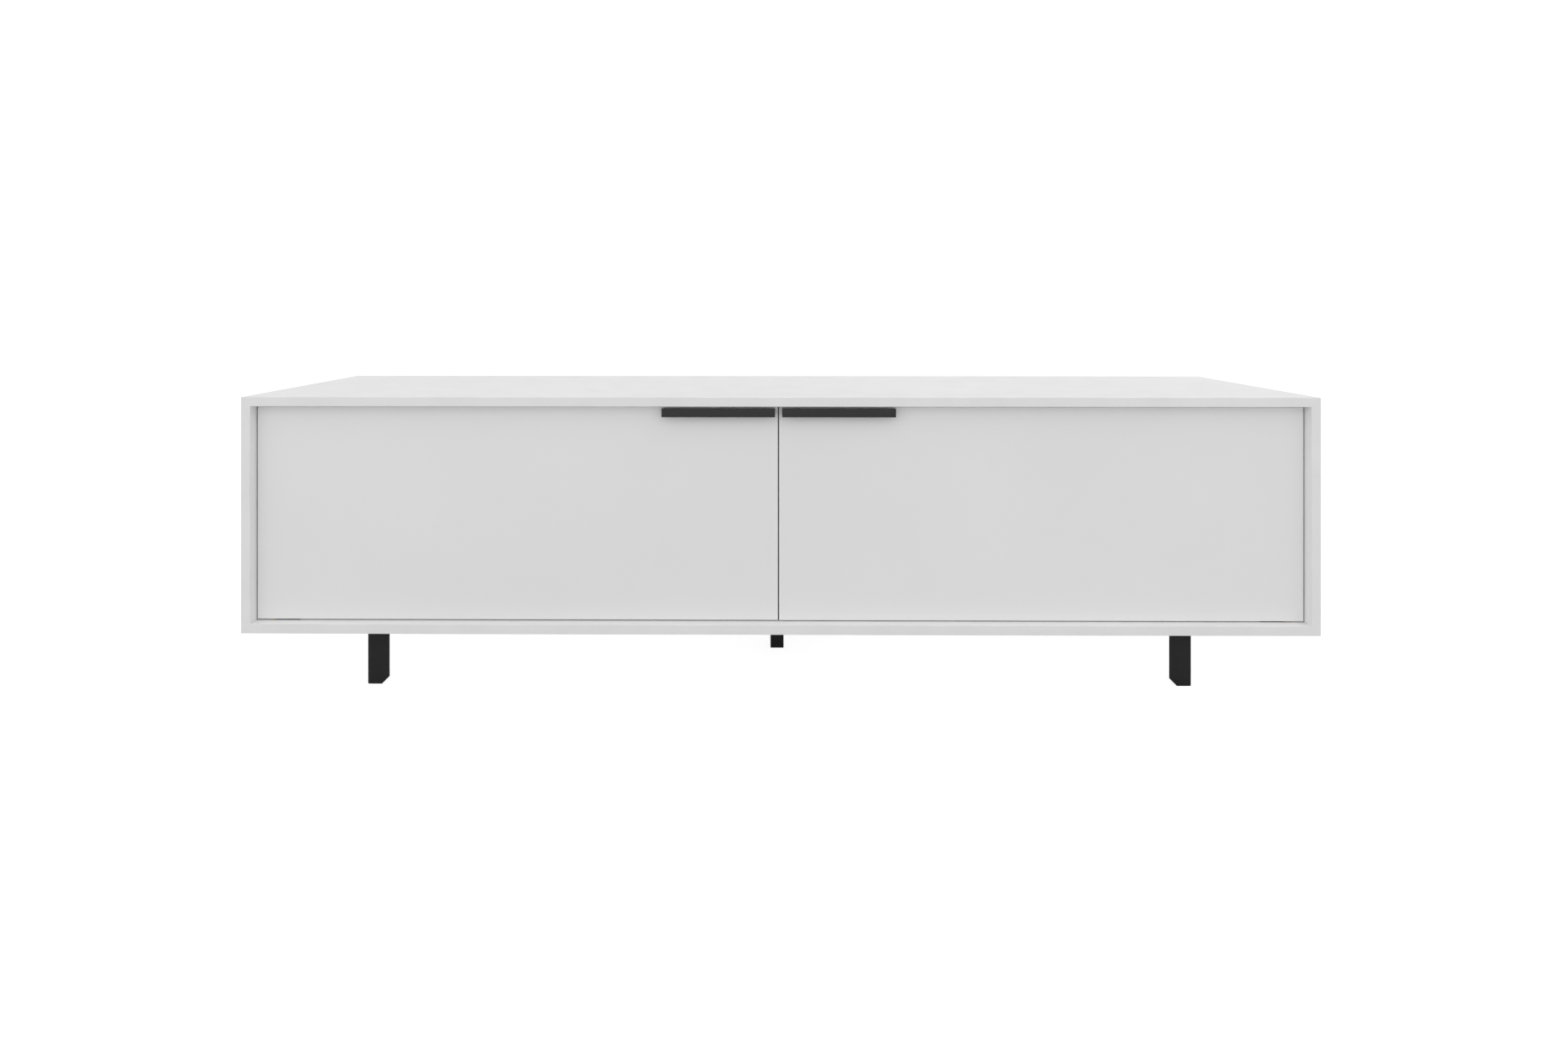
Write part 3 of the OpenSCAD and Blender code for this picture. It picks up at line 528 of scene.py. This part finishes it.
def addBlock(name, low, high):
    deselectAll()
    low, high = Vector(low), Vector(high)
    bpy.ops.mesh.primitive_cube_add(size=1, location=(low + high) / 2, scale=high - low)
    piece = bpy.context.object
    piece.name = name
    bpy.ops.object.transform_apply(location=True, rotation=True, scale=True)
    return piece


def copyMoved(piece, name, shift):
    # a copy with a mesh of its own, moved within its mesh
    makeActive(piece)
    bpy.ops.object.duplicate()
    twin = bpy.context.object
    twin.name = name
    bpy.ops.transform.translate(value=shift)
    bpy.ops.object.transform_apply(location=True, rotation=True, scale=True)
    return twin


def easeEdges(piece, width, segments=2, wornSlot=-1):
    # rounds every sharp edge; the rounding can take its own material, for wear
    bevel = piece.modifiers.new("easedEdges", "BEVEL")
    bevel.limit_method = "ANGLE"
    bevel.angle_limit = radians(cleanUp["sharpFrom"])
    bevel.width = width
    bevel.segments = segments
    bevel.material = wornSlot
    applyModifiers(piece)


def standFor(piece, *nodes):
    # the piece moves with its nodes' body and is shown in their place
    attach(piece, bodyOf[nodes[0]])
    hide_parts(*nodes)
    return piece


boardEdges = {
    "band": 1.0 * mm,       # ABS edge band
    "glueLine": 0.12 * mm,  # where the band meets the face
    "arris": 0.8 * mm,      # scraped and rounded edge of the band
    "arrisSteps": 3,
    "joint": 0.1 * mm,      # eased edge at a mitre, where the foil is folded round the corner
    "fold": 0.4 * mm,       # and how far in from the face it stays white
}
same = 0.02 * mm  # nearer than this counts as the same place
facing = 0.99     # a face with this much of its normal along an axis is square to it
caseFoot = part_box("bottom_panel")[0].z


def onMitre(point):
    # the 45 degree cuts at the case's four corners
    out = abs(point.x)
    return (abs((out - point.z) - (cadHigh.x - cadHigh.z)) < same
            or abs((out + point.z) - (cadHigh.x + caseFoot)) < same)


def finishBoard(node, thin, banded, mitred=False):
    # melamine on the two faces, bands on the banded sides, sawn chip core wherever it is cut
    low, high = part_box(node)
    piece = copyOf(node, node + "Board")
    sides = [(axis, high[axis] if end > 0 else low[axis], end) for axis, end in banded]
    faces = (low[thin], high[thin])

    def onFace(point):
        return min(abs(point[thin] - face) for face in faces) < same

    def sidesAt(point):
        return {axis for axis, place, end in sides if abs(point[axis] - place) < same}

    def isArris(a, b):
        shared = sidesAt(a) & sidesAt(b)
        alongFace = onFace(a) and onFace(b) and abs(a[thin] - b[thin]) < same
        return bool(shared) and alongFace or len(shared) == 2

    def isJoint(a, b):
        for p in (a, b):
            depth = min(abs(p[axis] - place) for axis, place, end in sides)
            if not onMitre(p) or not (onFace(p) or depth < boardEdges["arris"] + same):
                return False
        return True

    selectEdges(piece, isArris)
    bpy.ops.mesh.bevel(
        offset=boardEdges["arris"], segments=boardEdges["arrisSteps"], affect="EDGES", clamp_overlap=True)
    if mitred:
        selectEdges(piece, isJoint)
        bpy.ops.mesh.bevel(offset=boardEdges["joint"], segments=1, affect="EDGES", clamp_overlap=True)
    for axis, place, end in sides:
        for depth in (boardEdges["band"], boardEdges["band"] + boardEdges["glueLine"]):
            cut, across = [0, 0, 0], [0, 0, 0]
            cut[axis], across[axis] = place - end * depth, 1
            selectFaces(piece, lambda centre, normal: True)
            bpy.ops.mesh.bisect(plane_co=cut, plane_no=across)
    bpy.ops.mesh.select_all(action="SELECT")
    bpy.ops.mesh.dissolve_degenerate(threshold=cleanUp["collapse"])
    bpy.ops.object.mode_set(mode="OBJECT")

    for material in (melamineWhite, bandWhite, bandScraped, coreSawn):
        piece.data.materials.append(material)
    for face in piece.data.polygons:
        edgeDepth = min(abs(face.center[axis] - place) for axis, place, end in sides)
        aligned = max(abs(part) for part in face.normal) > facing
        if edgeDepth < boardEdges["band"]:
            face.material_index = 1 if aligned else 2
        elif edgeDepth < boardEdges["band"] + boardEdges["glueLine"]:
            face.material_index = 2
        else:
            inside = min(abs(face.center[thin] - place) for place in faces)
            face.material_index = 0 if inside < boardEdges["fold"] else 3
    shadeCrisp(piece)
    return standFor(piece, node)


frontAndRear = [(yAxis, -1), (yAxis, 1)]
allRound = [(xAxis, -1), (xAxis, 1), (zAxis, -1), (zAxis, 1)]
for node in ("top_panel", "bottom_panel"):
    finishBoard(node, zAxis, frontAndRear, mitred=True)
for node in ("left_side_panel", "right_side_panel"):
    finishBoard(node, xAxis, frontAndRear, mitred=True)
finishBoard("centre_partition", xAxis, frontAndRear)
for node in ("left_shelf", "right_shelf"):
    finishBoard(node, zAxis, frontAndRear)
for node in ("left_door_panel", "right_door_panel"):
    finishBoard(node, yAxis, allRound)
print("boards finished")

backPanel = {"ease": 0.3 * mm}
for node in ("left_back_panel", "right_back_panel"):
    # white foil in front, bare screen-marked back
    piece = copyOf(node, node + "Sheet")
    easeEdges(piece, backPanel["ease"], 1)
    piece.data.materials.append(hardboardBack)
    piece.data.materials.append(melamineWhite)
    for face in piece.data.polygons:
        face.material_index = 1 if face.normal.y < -facing else 0
    shadeCrisp(piece)
    standFor(piece, node)
print("back panels finished")

pull = {
    "wall": 2.0 * mm,
    "flangeHeight": 13.0 * mm,  # against the door
    "corner": 1.0 * mm,         # front top corner of the extrusion
    "cornerSteps": 5,
    "ease": 0.3 * mm,           # deburred edges
    "easeSteps": 3,
}


def makePull(node):
    # a channel: the web on top, the lip hanging in front and the flange against the door
    low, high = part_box(node)
    wall = pull["wall"]
    piece = addBlock(node + "Channel", (low.x, low.y, high.z - wall), high)
    for place in (low.y + wall, high.y - wall):
        selectFaces(piece, lambda centre, normal: True)
        bpy.ops.mesh.bisect(plane_co=(0, place, 0), plane_no=(0, 1, 0))
    selectFaces(piece, lambda centre, normal: normal.z < -facing and centre.y < low.y + wall)
    bpy.ops.mesh.extrude_region_move(TRANSFORM_OT_translate={"value": (0, 0, low.z - high.z + wall)})
    selectFaces(piece, lambda centre, normal: normal.z < -facing and centre.y > high.y - wall)
    bpy.ops.mesh.extrude_region_move(TRANSFORM_OT_translate={"value": (0, 0, wall - pull["flangeHeight"])})
    selectEdges(piece, lambda a, b: all(p.y < low.y + same and p.z > high.z - same for p in (a, b)))
    bpy.ops.mesh.bevel(offset=pull["corner"], segments=pull["cornerSteps"], affect="EDGES")
    bpy.ops.object.mode_set(mode="OBJECT")
    piece.data.materials.append(handleBlack)
    piece.data.materials.append(handleEdge)
    easeEdges(piece, pull["ease"], pull["easeSteps"], wornSlot=1)
    shadeCrisp(piece)
    return standFor(piece, node)


for node in ("left_handle", "right_handle"):
    makePull(node)
print("pulls made")

legSteel = {"ease": 0.45 * mm}
for node in ("front_left_leg", "front_right_leg", "rear_left_leg", "rear_right_leg", "centre_leg"):
    piece = copyOf(node, node + "Steel")
    piece.data.materials.append(powderBlack)
    piece.data.materials.append(powderEdge)
    easeEdges(piece, legSteel["ease"], wornSlot=1)
    shadeCrisp(piece)
    standFor(piece, node)
print("legs finished")

weld = {
    "bead": 1.7 * mm,    # radius
    "length": 26 * mm,
    "start": 7 * mm,     # from the leg's outer corner
    "steel": 3.0 * mm,
    "ripples": 15,
    "ripple": 0.84,      # how much a bead narrows between two ripples
    "sides": 16,
    "smoothTo": 60,      # degrees between faces that are still shaded smooth
}


def makeWeld(leg):
    # a fillet bead where the folded angle meets its plate: a cylinder pinched between its ripples
    low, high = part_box(leg)
    inwardX = 1 if low.x < 0 else -1
    inwardY = 1 if low.y < 0 else -1
    cornerX = low.x if inwardX > 0 else high.x
    cornerY = low.y if inwardY > 0 else high.y
    middle = weld["start"] + weld["length"] / 2
    under = high.z - weld["steel"]
    deselectAll()
    bpy.ops.mesh.primitive_cylinder_add(
        vertices=weld["sides"], radius=weld["bead"], depth=weld["length"], rotation=(0, radians(90), 0),
        location=(cornerX + inwardX * middle, cornerY + inwardY * weld["steel"], under))
    bead = bpy.context.object
    bead.name = leg + "Weld"
    bpy.ops.object.transform_apply(location=True, rotation=True, scale=True)
    selectEdges(bead, lambda a, b: abs(a.x - b.x) > weld["length"] / 2)
    bpy.ops.mesh.subdivide(number_cuts=2 * weld["ripples"] - 1)
    step = weld["length"] / (2 * weld["ripples"])
    start = cornerX + inwardX * middle - weld["length"] / 2

    def isHollow(a, b):
        ring = round((a.x - start) / step)
        return abs(a.x - b.x) < same and ring % 2 == 0

    selectEdges(bead, isHollow)
    bpy.ops.transform.resize(value=(1, weld["ripple"], weld["ripple"]))
    bpy.ops.object.mode_set(mode="OBJECT")
    bead.data.materials.append(powderBlack)
    shadeCrisp(bead, weld["smoothTo"])
    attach(bead, bodyOf[leg])


for leg in ("front_left_leg", "front_right_leg", "rear_left_leg", "rear_right_leg"):
    makeWeld(leg)
print("welds made")

pad = {"diameter": 18 * mm, "rim": 0.6 * mm, "rimSteps": 4, "rib": 2.0 * mm, "hollow": 0.5 * mm, "sides": 64}
low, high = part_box("foot_pads")
radius = pad["diameter"] / 2
deselectAll()
bpy.ops.mesh.primitive_cylinder_add(
    vertices=pad["sides"], radius=radius, depth=high.z - low.z,
    location=(low.x + radius, low.y + radius, (low.z + high.z) / 2))
footPad = bpy.context.object
footPad.name = "footPads"
bpy.ops.object.transform_apply(location=True, rotation=True, scale=True)
# a rounded rim and a shallow hollow below, as on moulded pads
selectEdges(footPad, lambda a, b: abs(a.z - b.z) < same)
bpy.ops.mesh.bevel(offset=pad["rim"], segments=pad["rimSteps"], affect="EDGES")
selectFaces(footPad, lambda centre, normal: normal.z < -facing)
bpy.ops.mesh.inset(thickness=pad["rib"])
bpy.ops.mesh.extrude_region_move(TRANSFORM_OT_translate={"value": (0, 0, pad["hollow"])})
bpy.ops.object.mode_set(mode="OBJECT")
footPad.data.materials.append(plastics["rubberBlackMatt"])
shadeCrisp(footPad)
across, along = high.x - low.x - 2 * radius, high.y - low.y - 2 * radius
shifts = [(across, 0, 0), (0, along, 0), (across, along, 0)]
twins = [copyMoved(footPad, "footPadTwin", shift) for shift in shifts]
deselectAll()
for twin in (*twins, footPad):
    twin.select_set(True)
bpy.context.view_layer.objects.active = footPad
bpy.ops.object.join()
standFor(footPad, "foot_pads")
print("foot pads made")

bumper = {"diameter": 6 * mm, "dome": 1.5 * mm, "domeSteps": 6, "sides": 48, "smoothTo": 50}
low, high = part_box("door_bumpers")
radius = bumper["diameter"] / 2
deselectAll()
bpy.ops.mesh.primitive_cylinder_add(
    vertices=bumper["sides"], radius=radius, depth=high.y - low.y, rotation=(radians(90), 0, 0),
    location=(low.x + radius, (low.y + high.y) / 2, low.z + radius))
stickOn = bpy.context.object
stickOn.name = "doorBumpers"
bpy.ops.object.transform_apply(location=True, rotation=True, scale=True)
# a poured dome: the front rim rolls over half of the way to the middle
selectEdges(stickOn, lambda a, b: a.y < low.y + same and b.y < low.y + same)
bpy.ops.mesh.bevel(offset=bumper["dome"], segments=bumper["domeSteps"], affect="EDGES")
bpy.ops.object.mode_set(mode="OBJECT")
stickOn.data.materials.append(plastics["siliconeClear"])
shadeCrisp(stickOn, bumper["smoothTo"])
rise = (high.z - low.z - 2 * radius) / 2
across = high.x - low.x - 2 * radius
shifts = [(x, 0, z) for x in (0, across) for z in (0, rise, 2 * rise) if x or z]
twins = [copyMoved(stickOn, "bumperTwin", shift) for shift in shifts]
deselectAll()
for twin in (*twins, stickOn):
    twin.select_set(True)
bpy.context.view_layer.objects.active = stickOn
bpy.ops.object.join()
standFor(stickOn, "door_bumpers")
print("bumpers made")

hardware = {
    "nickel_steel": (metals["nickelPlateSatin"], 0.2 * mm),
    "zinc_screw": (metals["zincPlateBright"], 0.12 * mm),
    "washer_brass": (metals["brassTurned"], 0.2 * mm),
    "black_screw": (metals["blackOxideSteel"], 0.1 * mm),
    "beech": (beechWood, 0.5 * mm),
    "catch_plastic": (plastics["absMouldedWhite"], 0.5 * mm),
    "magnet": (plastics["ferriteSintered"], 0.3 * mm),
    "glide_plastic": (plastics["polyethyleneBlack"], 0.6 * mm),
}
for node, finish in slotOf.items():
    if finish not in hardware:
        continue
    material, ease = hardware[finish]
    piece = copyOf(node, node + "Part")
    piece.data.materials.append(material)
    easeEdges(piece, ease)
    shadeCrisp(piece)
    standFor(piece, node)
print("hinges, catches and fasteners finished")

studio = {
    "floorSize": 14.0,
    "floorColour": "C8C8C8",        # what the paper throws back on to the object
    "floorGlow": 0.87,              # what the camera sees on top of that
    "dome": 0.47,                   # mean strength of the soft surround
    "lean": (-0.05, -0.30, 0.41),   # the surround is stronger in front, above and a little from the left
    "sides": 0.50,                  # and this much stronger again at both sides
    "least": 0.05,                  # it is nowhere darker than this
    "sweep": 1.05,                  # the plain background
    "paperGrain": 900.0,
    "paperTooth": 0.05 * mm,
}

deselectAll()
bpy.ops.mesh.primitive_plane_add(size=studio["floorSize"], location=(0, 0, cadLow.z))
floor = bpy.context.object
floor.name = "floor"
material, tree = newMaterial("paleStudioFloor")
# seamless paper: it shows as white as an overlit sweep does, and throws back less light than that
seen = addNode(tree, "ShaderNodeLightPath").outputs["Is Camera Ray"]
paper = addNode(tree, "ShaderNodeTexNoise", {"Scale": studio["paperGrain"], "Detail": 3.0})
tooth = addNode(tree, "ShaderNodeBump",
                {"Height": paper.outputs["Fac"], "Distance": studio["paperTooth"], "Strength": 0.5})
glow = addNode(tree, "ShaderNodeMath", {0: seen, 1: studio["floorGlow"]}, operation="MULTIPLY")
shader = addNode(tree, "ShaderNodeBsdfPrincipled", {
    "Base Color": hexColour(studio["floorColour"]), "Roughness": 0.9, "Specular IOR Level": 0.1,
    "Normal": tooth.outputs["Normal"],
    "Emission Color": hexColour("FFFFFF"), "Emission Strength": glow.outputs["Value"]})
finishMaterial(tree, shader)
floor.data.materials.append(material)

world = bpy.data.worlds.new("studioSurround")
world.use_nodes = True
tree = world.node_tree
tree.nodes.clear()
# a soft white dome that leans to the front and top, with a plain white sweep behind the object
towards = addNode(tree, "ShaderNodeTexCoord").outputs["Generated"]
lean = addNode(tree, "ShaderNodeVectorMath", {0: towards, 1: studio["lean"]}, operation="DOT_PRODUCT")
apart = addNode(tree, "ShaderNodeSeparateXYZ", {"Vector": towards})
square = addNode(tree, "ShaderNodeMath", {0: apart.outputs["X"], 1: apart.outputs["X"]}, operation="MULTIPLY")
sides = addNode(tree, "ShaderNodeMath",
                {0: square.outputs["Value"], 1: studio["sides"], 2: studio["dome"]}, operation="MULTIPLY_ADD")
strength = addNode(tree, "ShaderNodeMath",
                   {0: lean.outputs["Value"], 1: sides.outputs["Value"]}, operation="ADD")
lit = addNode(tree, "ShaderNodeMath", {0: strength.outputs["Value"], 1: studio["least"]}, operation="MAXIMUM")
dome = addNode(tree, "ShaderNodeBackground", {"Color": (1, 1, 1, 1), "Strength": lit.outputs["Value"]})
sweep = addNode(tree, "ShaderNodeBackground", {"Color": (1, 1, 1, 1), "Strength": studio["sweep"]})
seen = addNode(tree, "ShaderNodeLightPath").outputs["Is Camera Ray"]
both = addNode(tree, "ShaderNodeMixShader", {0: seen, 1: dome.outputs[0], 2: sweep.outputs[0]})
addNode(tree, "ShaderNodeOutputWorld", {"Surface": both.outputs[0]})
bpy.context.scene.world = world
bpy.context.scene.view_settings.view_transform = "Standard"

lights = {
    "overhead": {"at": (0.5, 0.7, 2.7), "aim": (0, 0, 0.4), "size": (3.0, 1.5), "power": 13.0},
    "frontLeft": {"at": (-4.2, -4.6, 2.6), "aim": (0, -0.2, 0.3), "size": (3.0, 2.4), "power": 8.0},
}
for name, setup in lights.items():
    bpy.ops.object.light_add(type="AREA", location=setup["at"])
    lamp = bpy.context.object
    lamp.name = name
    lamp.data.shape = "RECTANGLE"
    lamp.data.size, lamp.data.size_y = setup["size"]
    lamp.data.energy = setup["power"]
    direction = Vector(setup["aim"]) - Vector(setup["at"])
    lamp.rotation_euler = direction.to_track_quat("-Z", "Y").to_euler()
print("floor and light placed")
